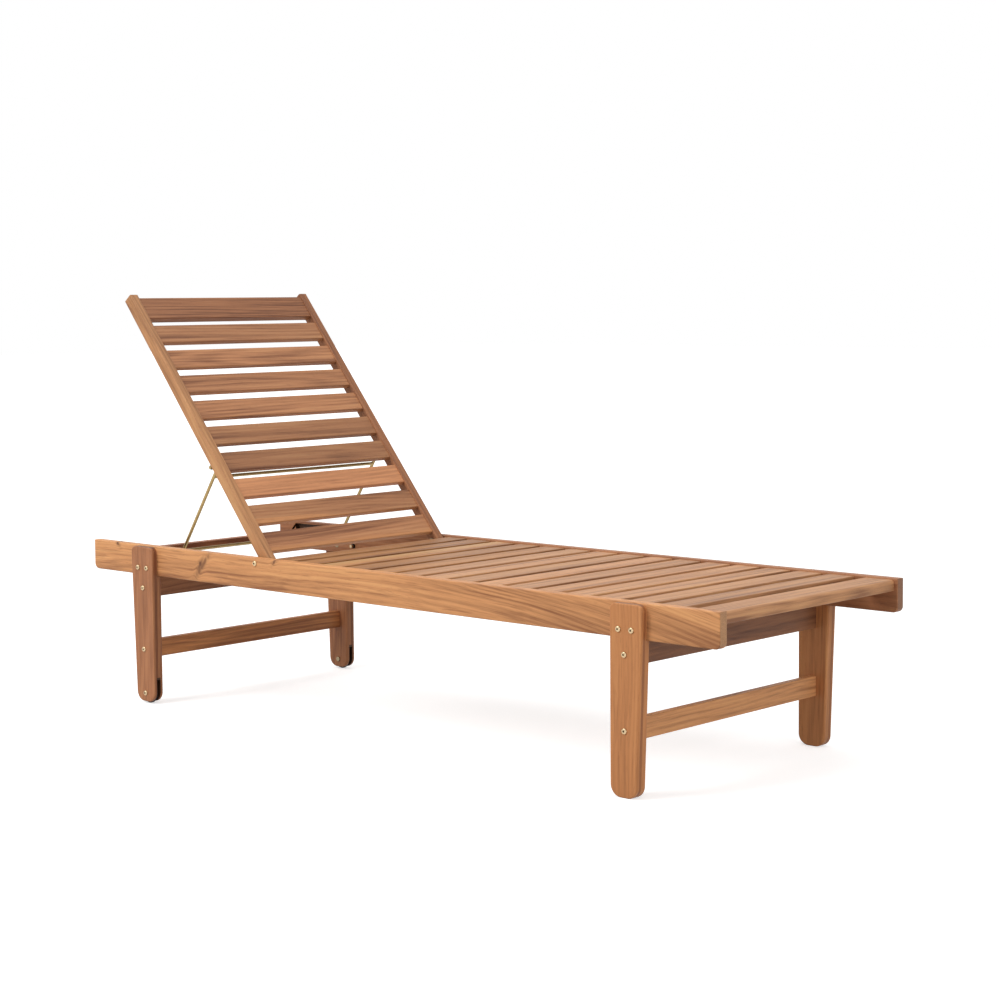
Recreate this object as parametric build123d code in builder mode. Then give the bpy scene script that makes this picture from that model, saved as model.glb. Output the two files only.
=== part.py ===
from build123d import *
import os
from math import atan2, cos, degrees, hypot, radians, sin

# Slatted hardwood sun lounger with an adjustable backrest and two transport wheels.
# Millimetres. X runs along the lounger with the foot end at +X, Y across it, Z up from the ground.
# The backrest is modelled raised. Pieces that come in pairs are made on the right (-Y) and mirrored.

# Side rails
frame_length = 1840.0
frame_width = 614.0
rail_thickness = 22.0
rail_height = 69.0
rail_top = 368.0
rail_edge_round = 2.5
rail_head_round = 14.0
rail_foot_round = 12.0

# Legs
leg_thickness = 26.5
leg_lap = 14.5
leg_top_width = 78.0
leg_foot_width = 63.5
leg_top_drop = 2.0
leg_top_round = 14.0
leg_foot_round = 24.0
leg_edge_round = 3.0
leg_inner_round = 4.0
front_leg_from_foot_end = 243.2
rear_leg_from_head_end = 237.0
rear_leg_ground_gap = 4.5

# Cross members between the legs
cross_thickness = 18.5
cross_rail_height = 50.0
cross_rail_drop = 1.0
cross_bolt_drop = 28.5
stretcher_height = 41.5
stretcher_bottom = 106.2
cross_from_leg_edge = 35.1
cross_edge_round = 2.0

# Seat slats
seat_slat_count = 15
seat_slat_width = 58.2
front_slat_width = 66.0
front_slat_gap = 28.0
front_slat_round = 8.0
front_slat_inset = 8.2
seat_slat_thickness = 18.0
front_slat_thickness = 22.5
seat_drop = 3.0
seat_to_pivot = 25.5
slat_edge_round = 2.0
slat_under_round = 1.5
tenon_length = 11.0
tenon_thickness = 9.0
tenon_shoulder = 7.0
tenon_fit = 0.2
mortise_floor_gap = 1.0

# Tie bar at the head end
head_bar_width = 24.0
head_bar_height = 18.5
head_bar_drop = 31.5
head_bar_inset = 3.0

# Backrest
pivot_from_head_end = 580.5
pivot_drop = 12.0
back_angle = 51.0
back_lowest_angle = 2.0
back_upright_angle = 55.0
back_length = 753.0
back_side_gap = 6.0
stile_width = 22.5
stile_depth = 26.5
stile_behind_pivot = 10.5
stile_edge_round = 2.0
stile_top_round = 2.5
back_slat_count = 9
back_slat_width = 51.0
back_slat_thickness = 13.0
back_slat_recess = 3.0
back_slat_start = 18.5
back_slat_top_gap = 20.5
top_rail_width = 62.5
top_rail_thickness = 17.0
top_rail_end_gap = 8.5
top_tenon_width = 36.0
top_tenon_thickness = 10.0
back_tenon_thickness = 7.0

# Back support
rod_diameter = 7.5
bail_hinge_height = 272.0
bail_leg_slope = 57.2
bail_follow = 1.2
bail_leg_gap = 3.5
bail_bend_radius = 8.0
bail_cross_height = 211.0
hinge_pin_end = 3.5
weld_gap = 0.05
bracket_thickness = 1.5
bracket_width = 12.0
bracket_length = 30.0
bracket_screw_height = 21.0
bracket_curl_gap = 0.4
rack_depth = 13.0
rack_clearance = 0.6
rack_from_head_end = 62.0
rack_end_gap = 1.5
rack_foot_end_room = 8.0
notch_depth = 7.0
notch_lean = 22.0
notch_angles = (16.0, 27.0, 39.0, back_angle)

# Wheels
wheel_diameter = 49.0
wheel_width = 8.0
wheel_side_gap = 1.0
wheel_head_room = 8.0
wheel_edge_round = 2.5
wheel_hub_diameter = 20.0
wheel_hub_recess = 1.5
wheel_rim_width = 6.0
wheel_from_leg_edge = 32.0
axle_diameter = 8.0
axle_screw_diameter = 5.0
axle_end_gap = 1.0

# Bolts, nuts and screws
bolt_diameter = 6.0
bolt_head_diameter = 12.0
bolt_head_height = 3.2
bolt_head_dome = 2.4
bolt_socket_diameter = 4.6
bolt_socket_depth = 1.8
rail_bolt_spacing = 31.0
rail_bolt_from_leg_edge = 36.7
rail_bolt_height = 18.5
rail_nut_flange_diameter = 13.0
rail_nut_flange = 1.2
rail_nut_barrel_diameter = 8.0
rail_nut_barrel_length = 12.0
cross_bolt_reach = 38.0
barrel_nut_diameter = 10.0
barrel_nut_length = 14.0
barrel_nut_inset = 28.0
pivot_bolt_diameter = 8.0
pivot_spacer_diameter = 15.0
pivot_nut_diameter = 14.5
pivot_nut_height = 6.0
pivot_side_play = 0.3
bracket_screw_diameter = 4.0
bracket_screw_head_diameter = 8.0
bracket_screw_head_height = 2.4
bracket_screw_head_dome = 1.7
bracket_screw_length = 15.0
stop_pin_diameter = 8.0
stop_pin_reach = 10.0
stop_pin_seat = 10.0
stop_pin_collar_diameter = 12.0
stop_pin_collar = 3.0
stop_pin_from_pivot = 304.5
stop_pin_height = 19.5

# Clearances, all radial
running_fit = 0.05
bolt_fit = 0.25
thread_fit = 0.05

# Places worked out from the sizes above
rail_outer = frame_width / 2
rail_inner = rail_outer - rail_thickness
rail_bottom = rail_top - rail_height
leg_outer = rail_outer + leg_lap
leg_inner = leg_outer - leg_thickness
leg_top = rail_top - leg_top_drop
head_end = -frame_length / 2
foot_end = frame_length / 2
front_leg_edge = foot_end - front_leg_from_foot_end
rear_leg_edge = head_end + rear_leg_from_head_end
front_cross_x = front_leg_edge + cross_from_leg_edge
rear_cross_x = rear_leg_edge - cross_from_leg_edge
cross_rail_z = rail_bottom - cross_rail_drop - cross_rail_height / 2
cross_bolt_z = rail_bottom - cross_bolt_drop
stretcher_z = stretcher_bottom + stretcher_height / 2
rail_bolt_z = rail_bottom + rail_bolt_height
seat_top = rail_top - seat_drop
seat_slat_z = seat_top - seat_slat_thickness / 2
head_bar_x = head_end + head_bar_inset + head_bar_width / 2
head_bar_z = rail_top - head_bar_drop - head_bar_height / 2
wheel_x = rear_leg_edge - wheel_from_leg_edge
wheel_z = wheel_diameter / 2
wheel_y = (leg_outer + leg_inner) / 2
wheel_slot_width = wheel_width + 2 * wheel_side_gap
wheel_slot_top = wheel_diameter + wheel_head_room
rod_radius = rod_diameter / 2
axle_radius = axle_diameter / 2

# Backrest frame: distances run up the back from the pivot, and forward from it towards the sitter
pivot_x = head_end + pivot_from_head_end
pivot_z = rail_top - pivot_drop
up_dir = Vector(-cos(radians(back_angle)), 0, sin(radians(back_angle)))
front_dir = Vector(sin(radians(back_angle)), 0, cos(radians(back_angle)))
back_side = Plane(origin=(pivot_x, 0, pivot_z), x_dir=up_dir, z_dir=(0, 1, 0))
stile_outer = rail_inner - back_side_gap
stile_inner = stile_outer - stile_width
stile_middle = (stile_outer + stile_inner) / 2
stile_front = stile_depth - stile_behind_pivot
stile_back = -stile_behind_pivot
back_slat_front = stile_front - back_slat_recess
back_slat_depth = back_slat_front - back_slat_thickness / 2
top_rail_top = back_length - top_rail_end_gap
top_rail_middle = top_rail_top - top_rail_width / 2
back_slat_room = top_rail_top - top_rail_width - back_slat_top_gap - back_slat_start
back_slat_pitch = (back_slat_room - back_slat_width) / (back_slat_count - 1)
back_tenon_width = back_slat_width - 2 * tenon_shoulder
back_slat_middles = [
    back_slat_start + back_slat_width / 2 + back_slat_pitch * index for index in range(back_slat_count)
]

# Back support: each leg hangs on a bent pin behind a stile and stands in the racks at the level of the pivot
bail_half_width = stile_inner - bail_leg_gap
bracket_back = stile_back - bracket_thickness
hinge_pin_depth = stile_back - bracket_curl_gap - bracket_thickness - running_fit - rod_radius
hinge_pin_place = Vector(pivot_x, 0, pivot_z) + up_dir * bail_hinge_height + front_dir * hinge_pin_depth
hinge_pin_outer = stile_middle + bracket_width / 2 + hinge_pin_end
bail_arm = hypot(bail_hinge_height, hinge_pin_depth)
bail_offset_angle = degrees(atan2(-hinge_pin_depth, bail_hinge_height))
bail_leg_length = (hinge_pin_place.Z - pivot_z) / sin(radians(bail_leg_slope))


def foot_rod_at(angle):
    """X and Z of the foot rod for an angle of the backrest: the leg turns bail_follow times as fast as it."""
    arm_slope = radians(angle - bail_offset_angle)
    leg_slope = radians(bail_leg_slope + bail_follow * (angle - back_angle))
    return (
        pivot_x - bail_arm * cos(arm_slope) - bail_leg_length * cos(leg_slope),
        pivot_z + bail_arm * sin(arm_slope) - bail_leg_length * sin(leg_slope),
    )


foot_rod_place = Vector(foot_rod_at(back_angle)[0], 0, foot_rod_at(back_angle)[1])
bail_leg_dir = (hinge_pin_place - foot_rod_place).normalized()
cross_rod_place = foot_rod_place + bail_leg_dir * bail_cross_height
back_angles = [back_lowest_angle + step for step in range(int(back_upright_angle - back_lowest_angle) + 1)]
foot_rod_heights = [foot_rod_at(angle)[1] for angle in back_angles]

# Seat slats from the backrest to the foot end, each with its middle, width, thickness and front rounding
front_slat_back = foot_end - front_slat_inset - front_slat_width
seat_start = pivot_x + seat_to_pivot
seat_slat_pitch = (front_slat_back - front_slat_gap - seat_slat_width - seat_start) / (seat_slat_count - 1)
seat_slats = [
    (seat_start + seat_slat_pitch * index + seat_slat_width / 2, seat_slat_width, seat_slat_thickness, slat_edge_round)
    for index in range(seat_slat_count)
]
seat_slats.append(
    (front_slat_back + front_slat_width / 2, front_slat_width, front_slat_thickness, front_slat_round)
)


def right_face(distance):
    """Upright lengthwise plane on the right side that faces outward: local X is X, local Y is Z."""
    return Plane.XZ.offset(distance)


def outward(x, distance, z, side):
    """Plane on one side of the lounger with its normal pointing outward."""
    return Plane(origin=(x, side * distance, z), x_dir=(1, 0, 0), z_dir=(0, side, 0))


def behind_back(up, depth, y):
    """Plane behind the backrest with its normal pointing backward."""
    place = Vector(pivot_x, y, pivot_z) + up_dir * up + front_dir * depth
    return Plane(origin=place, x_dir=(0, 1, 0), z_dir=front_dir * -1)


def both_sides(spots, distance):
    """Outward planes for the same spots on the right and on the left."""
    return [outward(x, distance, z, side) for side in (-1, 1) for x, z in spots]


def rail_bolt_spots(leg_edge, towards):
    middle = leg_edge + towards * rail_bolt_from_leg_edge
    return [(middle + step * rail_bolt_spacing / 2, rail_bolt_z) for step in (-1, 1)]


front_bolt_spots = rail_bolt_spots(front_leg_edge, 1)
rear_bolt_spots = rail_bolt_spots(rear_leg_edge, -1)
front_cross_spots = [(front_cross_x, cross_bolt_z), (front_cross_x, stretcher_z)]
rear_cross_spots = [(rear_cross_x, cross_bolt_z), (rear_cross_x, stretcher_z)]
stop_pin_spot = (pivot_x - stop_pin_from_pivot, rail_bottom + stop_pin_height)


def save(builder, name):
    builder.part.label = name
    export_step(builder.part, f"parts/{name}.step")


def save_pair(builder, name):
    save(builder, f"{name}_right")
    with BuildPart() as twin:
        mirror(builder.part, about=Plane.XZ)
    save(twin, f"{name}_left")


def save_group(shape, planes, name):
    with BuildPart() as group:
        with Locations(*planes):
            add(shape)
    save(group, name)


def make_side_rails():
    with BuildPart() as rail:
        with BuildSketch(right_face(rail_inner)) as outline:
            with Locations((0, rail_top - rail_height / 2)):
                Rectangle(frame_length, rail_height)
            fillet(outline.vertices().group_by(Axis.Y)[0].sort_by(Axis.X)[0], radius=rail_head_round)
            fillet(outline.vertices().group_by(Axis.Y)[0].sort_by(Axis.X)[-1], radius=rail_foot_round)
        extrude(amount=rail_thickness)
        sides = rail.faces().sort_by(Axis.Y)
        fillet(sides[0].edges() + sides[-1].edges(), radius=rail_edge_round)
        # Mortises of the seat slats and of the tie bar
        with BuildSketch(right_face(rail_inner)):
            for middle, width, _, _ in seat_slats:
                with Locations((middle, seat_slat_z)):
                    Rectangle(width - 2 * tenon_shoulder + 2 * tenon_fit, tenon_thickness + 2 * tenon_fit)
            with Locations((head_bar_x, head_bar_z)):
                Rectangle(
                    head_bar_width - tenon_shoulder + 2 * tenon_fit,
                    head_bar_height - tenon_shoulder + 2 * tenon_fit,
                )
        extrude(amount=tenon_length + mortise_floor_gap, mode=Mode.SUBTRACT)
        # Rack: a level groove as high as the foot rod's path needs, with notches that lean towards the head end
        groove_half = rod_radius + rack_clearance
        groove_low = min(foot_rod_heights) - groove_half
        groove_high = max(foot_rod_heights) + groove_half
        groove_head = head_end + rack_from_head_end
        groove_foot = foot_rod_at(back_upright_angle)[0] + groove_half + rack_foot_end_room
        notch_places = [foot_rod_at(angle)[0] for angle in notch_angles]
        notch_places.append(groove_head + groove_half)
        with BuildSketch(right_face(rail_inner)):
            with Locations(((groove_head + groove_foot) / 2, (groove_low + groove_high) / 2)):
                Rectangle(groove_foot - groove_head, groove_high - groove_low)
            for place in notch_places:
                with BuildLine():
                    Polyline(
                        (place - groove_half, groove_high),
                        (place + groove_half, groove_high),
                        (place + groove_half - notch_lean, groove_low - notch_depth),
                        (place - groove_half - notch_lean, groove_low - notch_depth),
                        close=True,
                    )
                make_face()
        extrude(amount=rack_depth, mode=Mode.SUBTRACT)
        # Holes of the leg bolts, seats of their nuts, pivot hole and pin hole
        bolt_spots = front_bolt_spots + rear_bolt_spots
        with Locations(*[outward(x, rail_outer, z, -1) for x, z in bolt_spots]):
            Hole(radius=bolt_diameter / 2 + bolt_fit, depth=rail_thickness)
        with BuildSketch(right_face(rail_inner)):
            with Locations(*bolt_spots):
                Circle(rail_nut_barrel_diameter / 2 + bolt_fit)
        extrude(amount=rail_nut_barrel_length + mortise_floor_gap, mode=Mode.SUBTRACT)
        with Locations(outward(pivot_x, rail_outer, pivot_z, -1)):
            Hole(radius=pivot_bolt_diameter / 2 + running_fit, depth=rail_thickness)
        with BuildSketch(right_face(rail_inner)):
            with Locations(stop_pin_spot):
                Circle(stop_pin_diameter / 2 + thread_fit)
        extrude(amount=stop_pin_seat + mortise_floor_gap, mode=Mode.SUBTRACT)
    save_pair(rail, "side_rail")


def leg_blank(leg_edge, towards, ground_gap):
    """Leg with one upright edge and one tapering edge, lapped over the rail above its shoulder."""
    foot_width = leg_foot_width + (leg_top_width - leg_foot_width) * ground_gap / leg_top
    with BuildPart() as leg:
        with BuildSketch(right_face(leg_inner)) as outline:
            with BuildLine():
                Polyline(
                    (leg_edge, ground_gap),
                    (leg_edge, leg_top),
                    (leg_edge + towards * leg_top_width, leg_top),
                    (leg_edge + towards * foot_width, ground_gap),
                    close=True,
                )
            make_face()
            fillet(outline.vertices().group_by(Axis.Y)[-1], radius=leg_top_round)
            fillet(outline.vertices().group_by(Axis.Y)[0], radius=leg_foot_round)
        extrude(amount=leg_thickness)
        sides = leg.faces().sort_by(Axis.Y)
        fillet(sides[0].edges(), radius=leg_edge_round)
        fillet(leg.faces().sort_by(Axis.Y)[-1].edges(), radius=leg_inner_round)
        with BuildSketch(right_face(leg_inner)):
            with Locations((leg_edge + towards * leg_top_width / 2, (rail_bottom + rail_top) / 2)):
                Rectangle(2 * leg_top_width, rail_height)
        extrude(amount=leg_thickness - leg_lap, mode=Mode.SUBTRACT)
    return leg.part


def make_front_legs():
    with BuildPart() as leg:
        add(leg_blank(front_leg_edge, 1, 0))
        with Locations(*[outward(x, leg_outer, z, -1) for x, z in front_bolt_spots + front_cross_spots]):
            Hole(radius=bolt_diameter / 2 + bolt_fit, depth=leg_thickness)
    save_pair(leg, "front_leg")


def make_rear_legs():
    with BuildPart() as leg:
        add(leg_blank(rear_leg_edge, -1, rear_leg_ground_gap))
        with Locations(*[outward(x, leg_outer, z, -1) for x, z in rear_bolt_spots + rear_cross_spots]):
            Hole(radius=bolt_diameter / 2 + bolt_fit, depth=leg_thickness)
        with Locations(outward(wheel_x, leg_outer, wheel_z, -1)):
            Hole(radius=axle_radius + running_fit, depth=leg_thickness)
        with BuildSketch(Plane.XY):
            with Locations((wheel_x, -wheel_y)):
                Rectangle(2 * leg_top_width, wheel_slot_width)
        extrude(amount=wheel_slot_top, mode=Mode.SUBTRACT)
    save_pair(leg, "rear_leg")


def make_cross_member(x, z, height, bolt_z, name):
    """Board between two legs, with a hole in each end for the bolt and one across for the barrel nut."""
    with BuildPart() as board:
        with BuildSketch(right_face(-leg_inner)) as outline:
            with Locations((x, z)):
                Rectangle(cross_thickness, height)
            fillet(outline.vertices(), radius=cross_edge_round)
        extrude(amount=2 * leg_inner)
        with Locations(*both_sides([(x, bolt_z)], leg_inner)):
            Hole(radius=bolt_diameter / 2 + bolt_fit, depth=cross_bolt_reach + mortise_floor_gap)
        for side in (-1, 1):
            with BuildSketch(Plane.YZ.offset(x - cross_thickness / 2)):
                with Locations((side * (leg_inner - barrel_nut_inset), bolt_z)):
                    Circle(barrel_nut_diameter / 2 + bolt_fit)
            extrude(amount=(cross_thickness + barrel_nut_length) / 2, mode=Mode.SUBTRACT)
    save(board, name)


def make_seat_slats():
    for number, (middle, width, thickness, front_round) in enumerate(seat_slats, start=1):
        with BuildPart() as slat:
            with BuildSketch(right_face(-rail_inner)) as outline:
                with Locations((middle, seat_top - thickness / 2)):
                    Rectangle(width, thickness)
                fillet(outline.vertices().group_by(Axis.Y)[-1].sort_by(Axis.X)[0], radius=slat_edge_round)
                fillet(outline.vertices().sort_by(Axis.X)[-2:].sort_by(Axis.Y)[-1], radius=front_round)
                fillet(outline.vertices().group_by(Axis.Y)[0], radius=slat_under_round)
            extrude(amount=2 * rail_inner)
            with BuildSketch(right_face(-rail_inner - tenon_length)):
                with Locations((middle, seat_slat_z)):
                    Rectangle(width - 2 * tenon_shoulder, tenon_thickness)
            extrude(amount=2 * (rail_inner + tenon_length))
        save(slat, f"seat_slat_{number:02d}")


def make_head_bar():
    with BuildPart() as bar:
        with BuildSketch(right_face(-rail_inner)) as outline:
            with Locations((head_bar_x, head_bar_z)):
                Rectangle(head_bar_width, head_bar_height)
            fillet(outline.vertices(), radius=slat_under_round)
        extrude(amount=2 * rail_inner)
        with BuildSketch(right_face(-rail_inner - tenon_length)):
            with Locations((head_bar_x, head_bar_z)):
                Rectangle(head_bar_width - tenon_shoulder, head_bar_height - tenon_shoulder)
        extrude(amount=2 * (rail_inner + tenon_length))
    save(bar, "head_tie_bar")


def make_stiles():
    foot_radius = stile_depth / 2
    depth_middle = (stile_front + stile_back) / 2
    with BuildPart() as stile:
        with BuildSketch(back_side.offset(-stile_outer)) as outline:
            with Locations((back_length / 2, depth_middle)):
                Rectangle(back_length, stile_depth)
            fillet(outline.vertices().group_by(Axis.X)[-1], radius=stile_top_round)
            with Locations((0, depth_middle)):
                Circle(foot_radius)
        extrude(amount=stile_width)
        sides = stile.faces().sort_by(Axis.Y)
        fillet(sides[0].edges() + sides[-1].edges(), radius=stile_edge_round)
        with BuildSketch(back_side.offset(-stile_outer)):
            Circle(pivot_bolt_diameter / 2 + running_fit)
        extrude(amount=stile_width, mode=Mode.SUBTRACT)
        # Mortises of the top rail and of the slats
        with BuildSketch(back_side.offset(-stile_inner)):
            with Locations((top_rail_middle, depth_middle)):
                Rectangle(top_tenon_width + 2 * tenon_fit, top_tenon_thickness + 2 * tenon_fit)
            with Locations(*[(middle, back_slat_depth) for middle in back_slat_middles]):
                Rectangle(back_tenon_width + 2 * tenon_fit, back_tenon_thickness + 2 * tenon_fit)
        extrude(amount=-tenon_length - mortise_floor_gap, mode=Mode.SUBTRACT)
        with Locations(behind_back(bail_hinge_height + bracket_screw_height, stile_back, -stile_middle)):
            Hole(radius=bracket_screw_diameter / 2 + thread_fit, depth=bracket_screw_length)
    save_pair(stile, "back_stile")


def make_top_rail():
    depth_middle = (stile_front + stile_back) / 2
    with BuildPart() as board:
        with BuildSketch(back_side.offset(-stile_inner)) as outline:
            with Locations((top_rail_middle, back_slat_front - top_rail_thickness / 2)):
                Rectangle(top_rail_width, top_rail_thickness)
            fillet(outline.vertices(), radius=slat_edge_round)
        extrude(amount=2 * stile_inner)
        with BuildSketch(back_side.offset(-stile_inner - tenon_length)):
            with Locations((top_rail_middle, depth_middle)):
                Rectangle(top_tenon_width, top_tenon_thickness)
        extrude(amount=2 * (stile_inner + tenon_length))
    save(board, "back_top_rail")


def make_back_slats():
    for number, middle in enumerate(back_slat_middles, start=1):
        with BuildPart() as slat:
            with BuildSketch(back_side.offset(-stile_inner)) as outline:
                with Locations((middle, back_slat_depth)):
                    Rectangle(back_slat_width, back_slat_thickness)
                fillet(outline.vertices().group_by(Axis.Y)[-1], radius=slat_edge_round)
                fillet(outline.vertices().group_by(Axis.Y)[0], radius=slat_under_round)
            extrude(amount=2 * stile_inner)
            with BuildSketch(back_side.offset(-stile_inner - tenon_length)):
                with Locations((middle, back_slat_depth)):
                    Rectangle(back_tenon_width, back_tenon_thickness)
            extrude(amount=2 * (stile_inner + tenon_length))
        save(slat, f"back_slat_{number:02d}")


def make_bail():
    """Two bent legs with a cross rod and a foot rod welded between them."""
    cope_radius = rod_radius + weld_gap
    foot = foot_rod_place - Vector(0, bail_half_width, 0)
    hinge = hinge_pin_place - Vector(0, bail_half_width, 0)
    bend_start = hinge - bail_leg_dir * bail_bend_radius
    bend_end = hinge - Vector(0, bail_bend_radius, 0)
    with BuildPart() as leg:
        with BuildLine():
            Line(foot, bend_start)
            TangentArc(bend_start, bend_end, tangent=bail_leg_dir)
            Line(bend_end, (hinge.X, -hinge_pin_outer, hinge.Z))
        with BuildSketch(Plane(origin=foot, x_dir=(0, 1, 0), z_dir=bail_leg_dir)):
            Circle(rod_radius)
        sweep()
        with BuildSketch(right_face(bail_half_width - rod_diameter)):
            with Locations((foot.X, foot.Z)):
                Circle(cope_radius)
        extrude(amount=2 * rod_diameter, mode=Mode.SUBTRACT)
    save_pair(leg, "bail_leg")

    # The cross rod is coped at both ends against the legs
    with BuildPart() as cross_rod:
        with BuildSketch(right_face(-bail_half_width)):
            with Locations((cross_rod_place.X, cross_rod_place.Z)):
                Circle(rod_radius)
        extrude(amount=2 * bail_half_width)
        for side in (-1, 1):
            leg_line = Plane(
                origin=foot_rod_place + Vector(0, side * bail_half_width, 0), x_dir=(0, 1, 0), z_dir=bail_leg_dir
            )
            with BuildSketch(leg_line):
                Circle(cope_radius)
            extrude(amount=bail_leg_length, mode=Mode.SUBTRACT)
    save(cross_rod, "bail_cross_rod")

    foot_rod_half = rail_inner + rack_depth - rack_end_gap
    with BuildPart() as foot_rod:
        with BuildSketch(right_face(-foot_rod_half)):
            with Locations((foot_rod_place.X, foot_rod_place.Z)):
                Circle(rod_radius)
        extrude(amount=2 * foot_rod_half)
    save(foot_rod, "bail_foot_rod")


def make_bail_brackets():
    curl_radius = rod_radius + running_fit + bracket_thickness
    curl_spot = (bail_hinge_height, hinge_pin_depth)
    with BuildPart() as brackets:
        for side in (-1, 1):
            start = side * stile_middle - bracket_width / 2
            with BuildSketch(back_side.offset(start)):
                with Locations(curl_spot):
                    Circle(curl_radius)
                with Locations((bail_hinge_height + bracket_length / 2, (stile_back + bracket_back) / 2)):
                    Rectangle(bracket_length, bracket_thickness)
                with Locations(curl_spot):
                    Circle(rod_radius + running_fit, mode=Mode.SUBTRACT)
            extrude(amount=bracket_width)
        screw_up = bail_hinge_height + bracket_screw_height
        with Locations(*[behind_back(screw_up, bracket_back, side * stile_middle) for side in (-1, 1)]):
            Hole(radius=bracket_screw_diameter / 2 + bolt_fit, depth=bracket_thickness)
    save(brackets, "bail_brackets")


def make_wheels():
    inner_side = wheel_y - wheel_width / 2
    outer_side = wheel_y + wheel_width / 2
    with BuildPart() as wheel:
        with BuildSketch(right_face(inner_side)):
            with Locations((wheel_x, wheel_z)):
                Circle(wheel_diameter / 2)
        extrude(amount=wheel_width)
        sides = wheel.faces().sort_by(Axis.Y)
        fillet(sides[0].edges() + sides[-1].edges(), radius=wheel_edge_round)
        for face, inward in ((inner_side, 1), (outer_side, -1)):
            with BuildSketch(right_face(face)):
                with Locations((wheel_x, wheel_z)):
                    Circle(wheel_diameter / 2 - wheel_rim_width)
                    Circle(wheel_hub_diameter / 2, mode=Mode.SUBTRACT)
            extrude(amount=inward * wheel_hub_recess, mode=Mode.SUBTRACT)
        with BuildSketch(right_face(inner_side)):
            with Locations((wheel_x, wheel_z)):
                Circle(axle_radius + running_fit)
        extrude(amount=wheel_width, mode=Mode.SUBTRACT)
    save_pair(wheel, "wheel")


def turned(profile):
    """Solid of revolution about Z from half an outline of (radius, height) points."""
    with BuildPart() as piece:
        with BuildSketch(Plane.XZ):
            with BuildLine():
                Polyline(*profile, close=True)
            make_face()
        revolve(axis=Axis.Z)
    return piece.part


def button_bolt(shank_diameter, shank_length):
    """Button head bolt with a hex socket: the head stands above the XY plane, the shank runs below it."""
    with BuildPart() as bolt:
        with BuildSketch():
            Circle(bolt_head_diameter / 2)
        extrude(amount=bolt_head_height)
        fillet(bolt.edges().group_by(Axis.Z)[-1], radius=bolt_head_dome)
        with BuildSketch():
            Circle(shank_diameter / 2)
        extrude(amount=-shank_length)
        with BuildSketch(Plane.XY.offset(bolt_head_height)):
            RegularPolygon(radius=bolt_socket_diameter / 2, side_count=6)
        extrude(amount=-bolt_socket_depth, mode=Mode.SUBTRACT)
    return bolt.part


def tube(outer_diameter, inner_diameter, length):
    """Round tube that runs below the XY plane."""
    with BuildPart() as piece:
        with BuildSketch():
            Circle(outer_diameter / 2)
            Circle(inner_diameter / 2, mode=Mode.SUBTRACT)
        extrude(amount=-length)
    return piece.part


def flanged_nut(flange_diameter, flange, barrel_diameter, barrel_length, thread_diameter, thread_length):
    """Sleeve nut: the flange stands above the XY plane, the threaded barrel runs below it."""
    with BuildPart() as nut:
        with BuildSketch():
            Circle(flange_diameter / 2)
        extrude(amount=flange)
        fillet(nut.edges().group_by(Axis.Z)[-1], radius=flange / 2)
        with BuildSketch():
            Circle(barrel_diameter / 2)
        extrude(amount=-barrel_length)
        with BuildSketch(Plane.XY.offset(-barrel_length)):
            Circle(thread_diameter / 2 + thread_fit)
        extrude(amount=thread_length, mode=Mode.SUBTRACT)
    return nut.part


def make_leg_bolts():
    bolt_spots = front_bolt_spots + rear_bolt_spots
    bolt_length = leg_lap + rail_thickness - mortise_floor_gap
    save_group(button_bolt(bolt_diameter, bolt_length), both_sides(bolt_spots, leg_outer), "rail_bolts")
    # The nuts face inward, so each one sits on the plane of the other side turned round
    nut = flanged_nut(
        rail_nut_flange_diameter, rail_nut_flange, rail_nut_barrel_diameter, rail_nut_barrel_length,
        bolt_diameter, rail_nut_barrel_length,
    )
    nut_planes = [outward(x, -rail_inner, z, side) for side in (-1, 1) for x, z in bolt_spots]
    save_group(nut, nut_planes, "rail_nuts")


def make_cross_bolts():
    spots = front_cross_spots + rear_cross_spots
    bolt_length = leg_thickness + cross_bolt_reach
    save_group(button_bolt(bolt_diameter, bolt_length), both_sides(spots, leg_outer), "cross_bolts")
    with BuildPart() as nut:
        with BuildSketch(Plane.YZ.offset(-barrel_nut_length / 2)):
            Circle(barrel_nut_diameter / 2)
        extrude(amount=barrel_nut_length)
        with BuildSketch(right_face(-barrel_nut_diameter)):
            Circle(bolt_diameter / 2 + thread_fit)
        extrude(amount=2 * barrel_nut_diameter, mode=Mode.SUBTRACT)
    nut_planes = [
        Plane(origin=(x, side * (leg_inner - barrel_nut_inset), z)) for side in (-1, 1) for x, z in spots
    ]
    save_group(nut.part, nut_planes, "barrel_nuts")


def make_pivots():
    nut_face = stile_inner - pivot_side_play
    bolt_length = rail_outer - nut_face + pivot_nut_height
    pivot_spot = [(pivot_x, pivot_z)]
    save_group(button_bolt(pivot_bolt_diameter, bolt_length), both_sides(pivot_spot, rail_outer), "pivot_bolts")
    spacer_length = back_side_gap - pivot_side_play
    spacer = tube(pivot_spacer_diameter, pivot_bolt_diameter + 2 * running_fit, spacer_length)
    save_group(spacer, both_sides(pivot_spot, rail_inner), "pivot_spacers")
    with BuildPart() as nut:
        with BuildSketch():
            RegularPolygon(radius=pivot_nut_diameter / 2, side_count=6)
            Circle(pivot_bolt_diameter / 2 + thread_fit, mode=Mode.SUBTRACT)
        extrude(amount=-pivot_nut_height)
    save_group(nut.part, both_sides(pivot_spot, nut_face), "pivot_nuts")


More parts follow.
